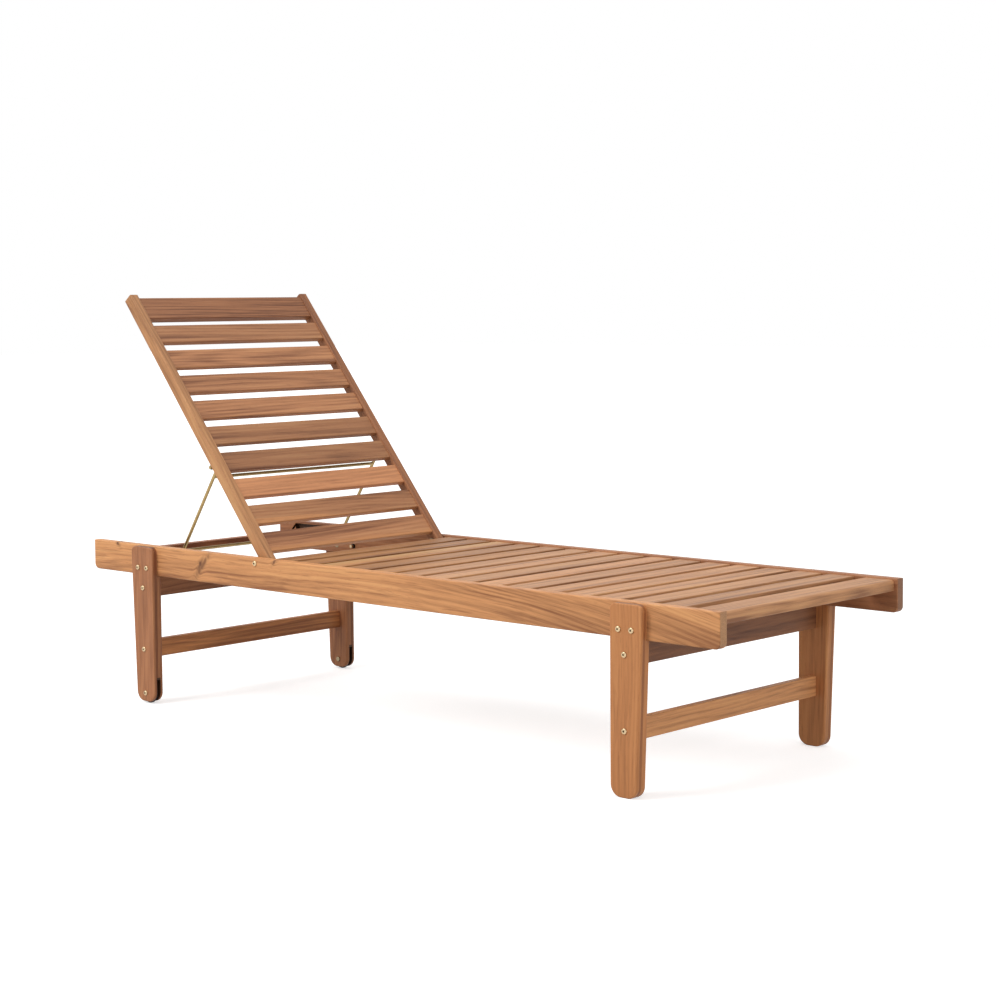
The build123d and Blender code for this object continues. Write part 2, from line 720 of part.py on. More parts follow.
def make_axles():
    axle_spot = [(wheel_x, wheel_z)]
    screw_length = leg_thickness - 2 * axle_end_gap
    save_group(button_bolt(axle_screw_diameter, screw_length), both_sides(axle_spot, leg_outer), "axle_bolts")
    nut = flanged_nut(
        bolt_head_diameter, bolt_head_height, axle_diameter, leg_thickness - axle_end_gap,
        axle_screw_diameter, leg_thickness - axle_end_gap,
    )
    nut_planes = [outward(wheel_x, -leg_inner, wheel_z, side) for side in (-1, 1)]
    save_group(nut, nut_planes, "axle_nuts")


def make_bracket_screws():
    with BuildPart() as screw:
        with BuildSketch():
            Circle(bracket_screw_head_diameter / 2)
        extrude(amount=bracket_screw_head_height)
        fillet(screw.edges().group_by(Axis.Z)[-1], radius=bracket_screw_head_dome)
        with BuildSketch():
            Circle(bracket_screw_diameter / 2)
        extrude(amount=-bracket_screw_length)
    screw_up = bail_hinge_height + bracket_screw_height
    planes = [behind_back(screw_up, bracket_back, side * stile_middle) for side in (-1, 1)]
    save_group(screw.part, planes, "bracket_screws")


def make_stop_pins():
    collar = stop_pin_collar_diameter / 2
    pin = stop_pin_diameter / 2
    shape = turned(
        [
            (0, stop_pin_reach), (pin, stop_pin_reach), (pin, stop_pin_collar), (collar, stop_pin_collar),
            (collar, 0), (pin, 0), (pin, -stop_pin_seat), (0, -stop_pin_seat),
        ]
    )
    planes = [outward(stop_pin_spot[0], -rail_inner, stop_pin_spot[1], side) for side in (-1, 1)]
    save_group(shape, planes, "rail_stop_pins")


os.makedirs("parts", exist_ok=True)
make_side_rails()
make_front_legs()
make_rear_legs()
make_cross_member(front_cross_x, cross_rail_z, cross_rail_height, cross_bolt_z, "front_cross_rail")
make_cross_member(rear_cross_x, cross_rail_z, cross_rail_height, cross_bolt_z, "rear_cross_rail")
make_cross_member(front_cross_x, stretcher_z, stretcher_height, stretcher_z, "front_stretcher")
make_cross_member(rear_cross_x, stretcher_z, stretcher_height, stretcher_z, "rear_stretcher")
make_seat_slats()
make_head_bar()
make_stiles()
make_top_rail()
make_back_slats()
make_bail()
make_bail_brackets()
make_wheels()
make_leg_bolts()
make_cross_bolts()
make_pivots()
make_axles()
make_bracket_screws()
make_stop_pins()
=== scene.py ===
import math
import random

import bpy
from mathutils import Matrix, Vector


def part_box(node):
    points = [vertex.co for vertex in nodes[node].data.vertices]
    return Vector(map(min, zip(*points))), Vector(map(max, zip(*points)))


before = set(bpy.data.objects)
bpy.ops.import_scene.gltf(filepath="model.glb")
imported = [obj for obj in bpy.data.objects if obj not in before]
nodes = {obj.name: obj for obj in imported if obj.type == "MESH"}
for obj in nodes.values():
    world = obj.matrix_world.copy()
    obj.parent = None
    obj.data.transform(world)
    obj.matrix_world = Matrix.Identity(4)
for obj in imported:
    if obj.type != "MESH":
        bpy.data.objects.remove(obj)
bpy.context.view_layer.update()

scene = bpy.context.scene

# Camera: the photograph's own viewpoint, in metres and degrees; its frame was cut off centre
CAMERA_PLACE = (3.1566, -3.3493, 0.9270)
CAMERA_YAW = 43.857
CAMERA_PITCH = -3.785
CAMERA_ROLL = -0.555
CAMERA_FOCAL_PIXELS = 2109.8
CAMERA_SHIFT = (0.0582, -0.0583)
CAMERA_REACH = 200.0
IMAGE_PIXELS = 999
SENSOR_MM = 36.0

# Light: each lamp's place and size in metres and its power in watts, where they aim, and the world's strengths
LAMPS = (
    ("key", (-1.7, -3.9, 3.3), 3.0, 162.0),
    ("overhead", (0.0, 0.2, 4.2), 4.0, 56.0),
    ("front_fill", (4.6, -0.6, 1.3), 3.0, 60.0),
)
LAMP_AIM = Vector((0, 0, 0.35))
AMBIENT = 0.45
WHITE_BACKDROP = 1.0

# Floor: half its side in metres, its colours, and how its glow rises between two distances from the object
FLOOR_REACH = 30.0
FLOOR_COLOUR = (0.80, 0.80, 0.80)
FLOOR_BOUNCE = (0.48, 0.47, 0.46)
FLOOR_NEAR, FLOOR_FAR = 1.5, 7.0
FLOOR_LIFT_NEAR, FLOOR_LIFT_FAR = 0.58, 1.0

# Backrest: its angle and the line that it leans along
BACK_ANGLE = 51.0
UP_THE_BACK = (-math.cos(math.radians(BACK_ANGLE)), 0, math.sin(math.radians(BACK_ANGLE)))

# Grain directions: the turn that lays a texture's own X along the board, and that line in the frame
GRAIN = {
    "along": ((0, 0, 0), (1, 0, 0)),
    "across": ((0, 0, math.radians(90)), (0, 1, 0)),
    "upright": ((0, math.radians(-90), 0), (0, 0, 1)),
    "leaning": ((0, math.radians(180 + BACK_ANGLE), 0), UP_THE_BACK),
}

# Wood tones, linear
HONEY = (0.590, 0.270, 0.109)
ORANGE = (0.492, 0.203, 0.075)
SEAT_TAN = (0.448, 0.217, 0.098)
BACK_TAN = (0.394, 0.174, 0.079)
STILE_TAN = (0.446, 0.214, 0.093)
BROWN = (0.370, 0.152, 0.067)
RUSSET = (0.400, 0.150, 0.062)
WARM_TAN = (0.442, 0.203, 0.080)
SAPWOOD = (0.54, 0.31, 0.13)
KNOT = (0.12, 0.042, 0.018)
GROOVE_PAINTED_SHADE = (0.030, 0.014, 0.007)

# What a board's tone turns to, as shares of its red, green and blue: by the grain's level, in dashes and pores,
# and on cut ends, which the last stops shade by their specks
TONE_STOPS = (
    (0.15, (0.50, 0.43, 0.42)),
    (0.42, (0.87, 0.87, 0.87)),
    (0.60, (1.07, 1.07, 1.07)),
    (0.92, (1.26, 1.38, 1.40)),
)
PORE_SHARES = (0.42, 0.34, 0.32)
END_SHARES = (0.74, 0.88, 1.08)
END_STOPS = ((0.38, 0.60), (0.55, 1.0), (0.75, 1.15))

# Layers of the grain: their scales along and across the board, octaves and roughness; then the middle of their
# noise, and of the level that they add up to
GRAIN_LAYERS = {
    "broad": (1.3, 34, 3.0, 0.55),
    "cloud": (1.6, 11, 2.0, 0.55),
    "streak": (2.4, 150, 4.0, 0.60),
    "fibre": (14, 620, 3.0, 0.70),
    "dash": (9, 230, 2.0, 0.55),
    "pore": (42, 900, 2.0, 0.55),
}
NOISE_MIDDLE = 0.5
LEVEL_MIDDLE = 0.53

# Weights of the layers in the grain's level: of the broad figure, of what is fine, and of the growth rings
FIGURE_WEIGHTS = {"broad": 1.25, "cloud": 0.80}
FINE_WEIGHTS = {"streak": 1.05, "fibre": 0.40}
RING_WEIGHT = 0.085

# Dashes and pores: where in their noise they begin and are full, and how dark the pores are
DASH_EDGE = (0.56, 0.70)
PORE_EDGE = (0.60, 0.70)
PORE_DEPTH = 0.28

# Noise: how far it is shifted to give each board a piece of its own, and its scales where it bends the fibres
NOISE_SPREAD = (-8, 8)
WAVE_SCALES = (1.8, 8, 8)

# Growth rings: where their pith may lie from the board in metres, how drawn out they are, their pace and stray
PITH_ALONG = (-0.8, 0.8)
PITH_ASIDE = (0.03, 0.09)
PITH_UP = (-0.10, 0.10)
RING_SCALES = (0.07, 1, 1)
RING_PACE = (620, 900)
RING_STRAY_SCALES = (2.5, 45, 45)
RING_STRAY = 9.0

# Knots, in their own sizes: how far off the fibres part and by how much, how ragged they are, and where their
# core and the halo round it fade
KNOT_REACH = 3.5
KNOT_PUSH = 0.75
KNOT_RAGGED_SCALE = 130.0
KNOT_RAGGED = 1.6
KNOT_CORE = (0.2, 1.1)
KNOT_HALO = (0.5, 2.4)
KNOT_HALO_DEPTH = 0.55
KNOT_HALO_SHADE = 0.45

# Redder below: between which heights from a board's middle it fades, in metres, and how much paler the top gets
REDDER_BELOW_EDGE = (-0.032, 0.026)
PALER_ABOVE = 0.4

# Band of another colour: how far the grain moves its edge, in metres, and how strong it is
BAND_STRAY = 0.02
BAND_DEPTH = 0.75

# Cut ends: how squarely a face has to meet the grain to show one, how strong it is, and the scale of its specks
END_FACING = (0.70, 0.97)
END_DEPTH = 0.85
END_SPECK_SCALE = 900.0

# Oiled surface: roughness and relief
WOOD_ROUGHNESS = 0.36
FIBRE_ROUGHNESS = 0.16
CLOUD_ROUGHNESS = 0.12
WOOD_SPECULAR = 0.25
FIBRE_RELIEF = 0.6
PORE_RELIEF = 0.8
DASH_RELIEF = 0.35
WOOD_BUMP = 0.35
WOOD_BUMP_DEPTH = 0.0005

# Grooves, painted dark inside as shade: where along the rails the racks run, how deep they are, a hair more
# than a surface, the room beside the wheels and how far the legs' slots go past them, in metres; how strong
# the painted shade on their inner walls is
RACK_FROM, RACK_TO = -0.90, -0.42
RACK_DEPTH = 0.013
SKIN = 0.0012
SLOT_ROOM = 0.0015
SLOT_PAST_WHEEL = 0.013
GROOVE_SHADE_DEPTH = 0.85

# Stripe on the sides of the legs: how far out from the rail it starts, its width, its soft edge, how dark it is
STRIPE_FROM_RAIL = 0.0012
STRIPE_WIDTH = 0.0085
STRIPE_FADE = 0.0016
STRIPE_DEPTH = 0.65

# Strength of the broad figure in the boards across the frame, and in the stretchers and stiles
FULL_FIGURE = 1.0
CALM_FIGURE = 0.8

# Knots of the near rail: along, up, length, height, tilt and depth
RAIL_KNOTS = (
    (-0.829, 0.031, 0.009, 0.004, -35, 0.80),
    (-0.520, 0.003, 0.040, 0.0058, 50, 0.66),
    (-0.528, 0.002, 0.014, 0.0046, 62, 0.92),
    (-0.276, 0.031, 0.009, 0.004, 48, 0.75),
)

# Brightness of each backrest slat from the lowest up, and of each seat slat from the backrest to the foot end
BACK_SLAT_BRIGHTNESS = (1.07, 0.91, 1.45, 0.80, 0.86, 1.13, 1.04, 1.12, 0.93)
SEAT_SLAT_BRIGHTNESS = (
    0.76, 0.80, 0.95, 0.82, 0.93, 0.98, 1.10, 0.95, 1.26, 1.00, 1.12, 1.09, 1.07, 1.03, 0.94, 1.03,
)

# Slats: their grain, how many seat slats are of the warmer tone, the plain back slat, the slats with an edge of
# another colour, and the numbers that their random draws start from
SLAT_GRAIN = {"fine": 1.4, "wavy": 0.012}
SEAT_FIGURE = 0.85
BACK_FIGURE = 0.9
WARM_SEAT_SLATS = 5
PLAIN_BACK_SLAT = 3
PLAIN_FIGURE, PLAIN_FINE = 0.3, 0.7
SEAT_BANDS = {3: ("Y", -0.004, 0.010, 0.0, SAPWOOD)}
BACK_BANDS = {
    1: ("Z", -0.004, -0.010, 0.006, HONEY),
    2: ("Z", -0.006, -0.011, -0.045, HONEY),
}
SEAT_SEEDS = 100
BACK_SEEDS = 200

# Plated fittings: their tones and base roughness, then the clouds, dull spots and ripple that they share
ROD_BRASS = (0.36, 0.255, 0.112)
SCREW_BRASS = (0.66, 0.50, 0.27)
BOLT_BRASS = (0.52, 0.39, 0.235)
NUT_BRASS = (0.30, 0.235, 0.145)
ROD_ROUGHNESS = 0.24
SCREW_ROUGHNESS = 0.22
BOLT_ROUGHNESS = 0.20
NUT_ROUGHNESS = 0.30
PIN_ROUGHNESS = 0.18
BRASS_STOPS = ((0.25, 0.78), (0.55, 1.0), (0.80, 1.12))
BRASS_CLOUD_SCALE = 70.0
BRASS_CLOUD_ROUGHNESS = 0.20
SPOT_SCALE = 420.0
SPOT_EDGE = (0.62, 0.74)
SPOT_DEPTH = 0.35
SPOT_SHADE = 0.45
SPOT_ROUGHNESS = 0.15
RIPPLE_SCALE = 260.0
RIPPLE_BUMP = 0.08
RIPPLE_DEPTH = 0.0003

# Bolt sockets: the height of their floor over the face that the head sits on, with the room above and below it
# that tells floor and walls from the rest of the head, in metres; how squarely those face out; how strong the
# painted shade in them is, and its colour
SOCKET_FLOOR = 0.0014
SOCKET_ABOVE = 0.0008
SOCKET_BELOW = 0.0001
FACING_OUT = 0.9
FACING_ASIDE = 0.15
SOCKET_SHADE_DEPTH = 0.85
SOCKET_PAINTED_SHADE = (0.10, 0.065, 0.03)

# Stop pins: how far their collar stands in from the rail, in metres, and its colour
STOP_PIN_COLLAR = 0.0032
COLLAR_BLACK = (0.012, 0.011, 0.010)

# Black plastic: tone, roughness and dust of the spacers and of the wheels, then the texture that they share
NYLON = ((0.014, 0.013, 0.013), 0.45, 0.20)
WHEEL = ((0.006, 0.006, 0.006), 0.55, 0.08)
PLASTIC_STOPS = ((0.30, 0.75), (0.70, 1.35))
PLASTIC_SPECULAR = 0.3
FLOW_SCALES = (40, 160, 40)
DUST = (0.05, 0.045, 0.04)
DUST_SCALE = 55.0
DUST_EDGE = (0.50, 0.78)
DUST_ROUGHNESS = 0.25
PEBBLE_SCALE = 1400.0
PEBBLE_BUMP = 0.25
PEBBLE_DEPTH = 0.0003


def shade(colour, factor):
    return tuple(channel * factor for channel in colour)


def tint(colour, shares):
    return tuple(channel * share for channel, share in zip(colour, shares))


def shades(colour, stops):
    """Stops of a ramp that are brighter and darker shades of one colour."""
    return [(position, shade(colour, factor)) for position, factor in stops]


class Net:
    """A new material, with short names for the shader nodes that it uses."""

    def __init__(self, name):
        self.material = bpy.data.materials.new(name)
        self.material.use_nodes = True
        self.tree = self.material.node_tree
        self.shader = self.tree.nodes["Principled BSDF"]
        coordinates = self.new("ShaderNodeTexCoord")
        self.place = coordinates.outputs["Object"]
        self.normal = coordinates.outputs["Normal"]

    def new(self, kind, **settings):
        made = self.tree.nodes.new(kind)
        for name, value in settings.items():
            setattr(made, name, value)
        return made

    def put(self, socket, value):
        if isinstance(value, bpy.types.NodeSocket):
            self.tree.links.new(value, socket)
        else:
            socket.default_value = value

    def math(self, operation, *values):
        made = self.new("ShaderNodeMath", operation=operation)
        for socket, value in zip(made.inputs, values):
            self.put(socket, value)
        return made.outputs[0]

    def add(self, total, value, weight):
        """The total plus the value times its weight."""
        return self.math("MULTIPLY_ADD", value, weight, total)

    def every(self, *masks):
        """One where all the masks are one: their product."""
        product = masks[0]
        for mask in masks[1:]:
            product = self.math("MULTIPLY", product, mask)
        return product

    def vector(self, operation, *values):
        made = self.new("ShaderNodeVectorMath", operation=operation)
        for socket, value in zip(made.inputs, values):
            self.put(socket, value)
        return made.outputs["Value" if operation in ("LENGTH", "DOT_PRODUCT") else "Vector"]

    def axes(self, vector):
        """The three parts of a vector, by the letters of their axes."""
        made = self.new("ShaderNodeSeparateXYZ")
        self.put(made.inputs[0], vector)
        return dict(zip("XYZ", made.outputs))

    def joined(self, **parts):
        """A vector of the parts that are given, nought on the other axes."""
        made = self.new("ShaderNodeCombineXYZ")
        for axis, value in parts.items():
            self.put(made.inputs[axis], value)
        return made.outputs[0]

    def noise(self, vector, scale=1.0, detail=3.0, roughness=0.55, colour=False):
        made = self.new("ShaderNodeTexNoise")
        self.put(made.inputs["Vector"], vector)
        self.put(made.inputs["Scale"], scale)
        self.put(made.inputs["Detail"], detail)
        self.put(made.inputs["Roughness"], roughness)
        return made.outputs["Color" if colour else "Fac"]

    def span(self, value, low, high, start=0.0, end=1.0):
        """The value from low to high, laid smoothly on start to end."""
        made = self.new("ShaderNodeMapRange", interpolation_type="SMOOTHSTEP")
        for socket, number in zip(made.inputs, (value, low, high, start, end)):
            self.put(socket, number)
        return made.outputs[0]

    def ramp(self, value, stops):
        made = self.new("ShaderNodeValToRGB")
        self.put(made.inputs[0], value)
        elements = made.color_ramp.elements
        while len(elements) < len(stops):
            elements.new(0.5)
        for element, (position, colour) in zip(elements, stops):
            element.position = position
            element.color = (*colour, 1)
        return made.outputs[0]

    def mix(self, factor, first, second):
        made = self.new("ShaderNodeMix", data_type="RGBA")
        # Inputs 6 and 7 and output 2 are this node's sockets for colours
        sockets = (made.inputs["Factor"], made.inputs[6], made.inputs[7])
        for socket, value in zip(sockets, (factor, first, second)):
            if isinstance(value, tuple):
                value = (*value, 1)
            self.put(socket, value)
        return made.outputs[2]

    def laid_over(self, colour, mask, depth, tone):
        """The colour, with as much as depth of the tone laid over it where the mask is one."""
        return self.mix(self.math("MULTIPLY", mask, depth), colour, tone)

    def bump(self, height, strength, distance):
        made = self.new("ShaderNodeBump")
        self.put(made.inputs["Height"], height)
        self.put(made.inputs["Strength"], strength)
        self.put(made.inputs["Distance"], distance)
        self.tree.links.new(made.outputs[0], self.shader.inputs["Normal"])


def inside(net, low, high):
    """One within a box that is given on the left side and holds for both, otherwise nought."""
    place = net.axes(net.place)
    place["Y"] = net.math("ABSOLUTE", place["Y"])
    tests = []
    for value, least, most in zip(place.values(), low, high):
        tests.append(net.math("GREATER_THAN", value, least))
        tests.append(net.math("LESS_THAN", value, most))
    return net.every(*tests)


def part_round_knots(net, board, knots):
    """Parts the fibres round the knots.

    Gives the place on the board, and for each knot the distance from it in its own sizes and its depth.
    """
    edges = []
    for along, up, length, height, tilt, depth in knots:
        cosine, sine = math.cos(math.radians(tilt)), math.sin(math.radians(tilt))
        off = net.vector("SUBTRACT", board, (along, 0, up))
        lengthwise = net.vector("DOT_PRODUCT", off, (cosine / length, 0, sine / length))
        crosswise = net.vector("DOT_PRODUCT", off, (-sine / height, 0, cosine / height))
        edge = net.vector("LENGTH", net.joined(X=lengthwise, Y=crosswise))
        edges.append((edge, depth))
        push = net.span(edge, 0.0, KNOT_REACH, -KNOT_PUSH * height, 0.0)
        board = net.vector("ADD", board, net.joined(Z=net.math("MULTIPLY", crosswise, push)))
    return board, edges


def growth_rings(net, board, own, draw):
    """Soft and uneven waves of the distance from a pith that runs askew beside the board."""
    pith = (
        draw.uniform(*PITH_ALONG),
        draw.uniform(*PITH_ASIDE) * draw.choice((-1, 1)),
        draw.uniform(*PITH_UP),
    )
    off = net.vector("MULTIPLY", net.vector("SUBTRACT", board, pith), RING_SCALES)
    ring = net.math("MULTIPLY", net.vector("LENGTH", off), draw.uniform(*RING_PACE))
    stray = net.noise(net.vector("MULTIPLY", own, RING_STRAY_SCALES))
    return net.math("SINE", net.add(ring, stray, RING_STRAY))


def wood(
    name, tone, grain, middle, seed,
    figure=FULL_FIGURE, fine=1.0, wavy=0.034, dashes=0.25, bow=0.0, heart=0.0, drift=0.0,
    band=None, knots=(), groove=None, stripe=None,
):
    """Oiled hardwood: broad figure and soft growth rings, streaks, dark dashes, fibres, pores and end grain.

    figure is how strong the broad figure is, and fine how strong the narrow streaks and fibres are.
    wavy is how far the fibres stray, dashes how dark the dashes are, and bow how fast the fibres bend down
    towards the foot end.
    heart is how much redder the lower edge is, and drift how much so the board gets along its length.
    band is (axis, from, to, slope, colour): an edge of another colour that fades in between the two places,
    which move with the slope along the board.
    knots are (along, up, length, height, tilt, depth) on a board that lies along X.
    groove is the two corners of the box in which the walls of grooves get painted shade,
    from the frame's origin.
    stripe is the two distances from the frame's middle between which a board's sides are darker.
    Other places and sizes are in metres from the board's middle, tilts in degrees.
    """
    net = Net(name)
    draw = random.Random(seed)
    turn, grain_line = GRAIN[grain]
    lay = net.new("ShaderNodeMapping", vector_type="TEXTURE")
    net.put(lay.inputs["Vector"], net.place)
    net.put(lay.inputs["Location"], middle)
    net.put(lay.inputs["Rotation"], turn)
    board, knot_edges = part_round_knots(net, lay.outputs[0], knots)
    place = net.axes(board)
    if bow:
        ahead = net.math("MAXIMUM", place["X"], 0.0)
        fall = net.math("MULTIPLY", net.math("MULTIPLY", ahead, ahead), bow)
        board = net.vector("ADD", board, net.joined(Z=fall))

    # Each board has its own piece of the noise, and its fibres wander slowly
    own = net.vector("ADD", board, tuple(draw.uniform(*NOISE_SPREAD) for _ in range(3)))
    wave = net.noise(net.vector("MULTIPLY", own, WAVE_SCALES), detail=2.0, colour=True)
    wave = net.vector("SUBTRACT", wave, (NOISE_MIDDLE, NOISE_MIDDLE, NOISE_MIDDLE))
    wave = net.vector("MULTIPLY", wave, (0, wavy, wavy))
    board = net.vector("ADD", board, wave)
    own = net.vector("ADD", own, wave)

    # The layers, all drawn out along the grain, add up to a level that sets the colour
    ring = growth_rings(net, board, own, draw)
    layers = {}
    for kind, (along, across, octaves, roughness) in GRAIN_LAYERS.items():
        drawn_out = net.vector("MULTIPLY", own, (along, across, across))
        layers[kind] = net.noise(drawn_out, detail=octaves, roughness=roughness)
    dash = net.span(layers["dash"], *DASH_EDGE)
    pores = net.span(layers["pore"], *PORE_EDGE)
    level = net.add(LEVEL_MIDDLE, ring, RING_WEIGHT * fine)
    for weights, strength in ((FIGURE_WEIGHTS, figure), (FINE_WEIGHTS, fine)):
        for kind, weight in weights.items():
            level = net.add(level, net.math("SUBTRACT", layers[kind], NOISE_MIDDLE), weight * strength)
    if heart:
        level = net.math("ADD", level, net.span(place["Z"], *REDDER_BELOW_EDGE, -heart, PALER_ABOVE * heart))
    if drift:
        level = net.add(level, place["X"], -drift)
    colour = net.ramp(level, [(position, tint(tone, shares)) for position, shares in TONE_STOPS])

    if band:
        axis, start, end, slope, edge_tone = band
        stray = net.math("MULTIPLY", net.math("SUBTRACT", level, LEVEL_MIDDLE), BAND_STRAY)
        stray = net.add(stray, place["X"], -slope)
        edge = net.span(net.math("ADD", place[axis], stray), start, end)
        colour = net.laid_over(colour, edge, BAND_DEPTH, edge_tone)
    for edge, depth in knot_edges:
        ragged = net.noise(own, scale=KNOT_RAGGED_SCALE, detail=3.0)
        ragged = net.add(edge, net.math("SUBTRACT", ragged, NOISE_MIDDLE), KNOT_RAGGED)
        halo = net.span(ragged, *KNOT_HALO, KNOT_HALO_DEPTH * depth, 0.0)
        colour = net.mix(halo, colour, shade(tone, KNOT_HALO_SHADE))
        colour = net.mix(net.span(ragged, *KNOT_CORE, depth, 0.0), colour, KNOT)
    dark = tint(tone, PORE_SHARES)
    colour = net.laid_over(colour, dash, dashes, dark)
    colour = net.laid_over(colour, pores, PORE_DEPTH, dark)

    # Cut ends are greyer, with open pores
    end = net.math("ABSOLUTE", net.vector("DOT_PRODUCT", net.normal, grain_line))
    speck = net.noise(own, scale=END_SPECK_SCALE, detail=3.0, roughness=0.7)
    cut = net.ramp(speck, shades(tint(tone, END_SHARES), END_STOPS))
    colour = net.mix(net.span(end, *END_FACING, 0.0, END_DEPTH), colour, cut)
    if stripe:
        aside = net.math("ABSOLUTE", net.axes(net.place)["Y"])
        begun = net.span(aside, stripe[0], stripe[0] + STRIPE_FADE)
        not_over = net.span(aside, stripe[1], stripe[1] - STRIPE_FADE)
        colour = net.laid_over(colour, net.every(begun, not_over), STRIPE_DEPTH, dark)
    # Painted shade: the walls inside the grooves are darkened to stand for the shadow in them
    if groove:
        colour = net.laid_over(colour, inside(net, *groove), GROOVE_SHADE_DEPTH, GROOVE_PAINTED_SHADE)
    net.put(net.shader.inputs["Base Color"], colour)

    rough = net.add(WOOD_ROUGHNESS, layers["fibre"], FIBRE_ROUGHNESS)
    net.put(net.shader.inputs["Roughness"], net.add(rough, layers["cloud"], CLOUD_ROUGHNESS))
    net.put(net.shader.inputs["Specular IOR Level"], WOOD_SPECULAR)
    relief = net.math("MULTIPLY", layers["fibre"], FIBRE_RELIEF)
    relief = net.add(relief, pores, -PORE_RELIEF)
    relief = net.add(relief, dash, -DASH_RELIEF)
    net.bump(relief, WOOD_BUMP, WOOD_BUMP_DEPTH)
    return net.material


def brass(name, tone, roughness):
    """Yellow plated steel: a slightly cloudy tone, duller spots and a faint ripple."""
    net = Net(name)
    cloud = net.noise(net.place, scale=BRASS_CLOUD_SCALE, detail=4.0)
    spots = net.span(net.noise(net.place, scale=SPOT_SCALE, detail=2.0), *SPOT_EDGE)
    colour = net.ramp(cloud, shades(tone, BRASS_STOPS))
    colour = net.laid_over(colour, spots, SPOT_DEPTH, shade(tone, SPOT_SHADE))
    net.put(net.shader.inputs["Base Color"], colour)
    net.put(net.shader.inputs["Metallic"], 1.0)
    rough = net.add(roughness, cloud, BRASS_CLOUD_ROUGHNESS)
    net.put(net.shader.inputs["Roughness"], net.add(rough, spots, SPOT_ROUGHNESS))
    net.bump(net.noise(net.place, scale=RIPPLE_SCALE, detail=2.0), RIPPLE_BUMP, RIPPLE_DEPTH)
    return net


def darkened(net, mask, tone):
    """Lays a dark colour over a material's own where the mask is one."""
    base = net.shader.inputs["Base Color"]
    net.put(base, net.mix(mask, base.links[0].from_socket, tone))
    return net.material


def socket_bolt(name, face):
    """Brass bolts whose socket gets painted shade: face is how far from the middle the heads sit, in metres."""
    net = brass(name, BOLT_BRASS, BOLT_ROUGHNESS)
    away = net.math("SUBTRACT", net.math("ABSOLUTE", net.axes(net.place)["Y"]), face)
    facing = net.math("ABSOLUTE", net.vector("DOT_PRODUCT", net.normal, (0, 1, 0)))
    # Painted shade: the socket's floor and walls are darkened to stand for the shadow inside it
    floor = net.every(
        net.math("GREATER_THAN", facing, FACING_OUT),
        net.math("LESS_THAN", away, SOCKET_FLOOR + SOCKET_ABOVE),
    )
    wall = net.every(
        net.math("LESS_THAN", facing, FACING_ASIDE),
        net.math("GREATER_THAN", away, SOCKET_FLOOR - SOCKET_BELOW),
    )
    return darkened(net, net.math("MULTIPLY", net.math("MAXIMUM", floor, wall), SOCKET_SHADE_DEPTH), SOCKET_PAINTED_SHADE)


def collared_pin(name, collar_from):
    """Brass pins whose collar against the rail is black: everything further out than collar_from."""
    net = brass(name, BOLT_BRASS, PIN_ROUGHNESS)
    collar = net.math("GREATER_THAN", net.math("ABSOLUTE", net.axes(net.place)["Y"]), collar_from)
    return darkened(net, collar, COLLAR_BLACK)


def moulded(name, tone, roughness, dusty):
    """Moulded black plastic: a fine pebble texture, faint flow marks and dust in the dull places."""
    net = Net(name)
    flow = net.noise(net.vector("MULTIPLY", net.place, FLOW_SCALES), detail=3.0)
    dust = net.span(net.noise(net.place, scale=DUST_SCALE, detail=5.0), *DUST_EDGE)
    colour = net.laid_over(net.ramp(flow, shades(tone, PLASTIC_STOPS)), dust, dusty, DUST)
    net.put(net.shader.inputs["Base Color"], colour)
    net.put(net.shader.inputs["Roughness"], net.add(roughness, dust, DUST_ROUGHNESS))
    net.put(net.shader.inputs["Specular IOR Level"], PLASTIC_SPECULAR)
    net.bump(net.noise(net.place, scale=PEBBLE_SCALE, detail=2.0), PEBBLE_BUMP, PEBBLE_DEPTH)
    return net.material


def dress(node, material):
    piece = nodes[node]
    piece.data.materials.clear()
    piece.data.materials.append(material)


def dress_wood(node, tone, grain, seed, **options):
    low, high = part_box(node)
    dress(node, wood(f"wood_{node}", tone, grain, tuple((low + high) / 2), seed, **options))


def dress_rails():
    low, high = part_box("side_rail_left")
    # The box of the racks' inner walls, which get painted shade
    rack = (
        (RACK_FROM, low.y + SKIN, low.z + SKIN),
        (RACK_TO, low.y + RACK_DEPTH + SKIN, high.z - SKIN),
    )
    dress_wood(
        "side_rail_right", HONEY, "along", 11,
        dashes=0.40, bow=0.12, heart=0.14, drift=0.13, knots=RAIL_KNOTS, groove=rack,
    )
    dress_wood("side_rail_left", shade(BROWN, 0.90), "along", 12, dashes=0.35, groove=rack)


def dress_legs():
    """Legs whose sides show a darker stripe, a little out from the rail's outer face."""
    stripe_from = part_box("side_rail_left")[1].y + STRIPE_FROM_RAIL
    stripe = (stripe_from, stripe_from + STRIPE_WIDTH)
    low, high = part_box("wheel_left")
    # The box of the wheel slots' inner walls, which get painted shade
    slot = (
        (low.x - SLOT_PAST_WHEEL, low.y - SLOT_ROOM, low.z - SKIN),
        (high.x + SLOT_PAST_WHEEL, high.y + SLOT_ROOM, high.z + SLOT_PAST_WHEEL),
    )
    legs = (
        ("front_leg_right", ORANGE, 21, 0.60, 0.75, None),
        ("front_leg_left", shade(ORANGE, 0.94), 22, 0.65, 0.75, None),
        ("rear_leg_right", BROWN, 23, 0.80, 1.0, slot),
        ("rear_leg_left", shade(BROWN, 0.95), 24, 0.65, 0.75, slot),
    )
    for node, tone, seed, figure, fine, groove in legs:
        dress_wood(node, tone, "upright", seed, figure=figure, fine=fine, stripe=stripe, groove=groove)


def dress_cross_boards():
    boards = (
        ("front_cross_rail", shade(BROWN, 0.59), 31, FULL_FIGURE),
        ("front_stretcher", shade(HONEY, 0.95), 32, CALM_FIGURE),
        ("rear_cross_rail", shade(BROWN, 0.85), 33, FULL_FIGURE),
        ("rear_stretcher", shade(ORANGE, 1.22), 34, CALM_FIGURE),
        ("head_tie_bar", RUSSET, 35, FULL_FIGURE),
    )
    for node, tone, seed, figure in boards:
        dress_wood(node, tone, "across", seed, figure=figure)


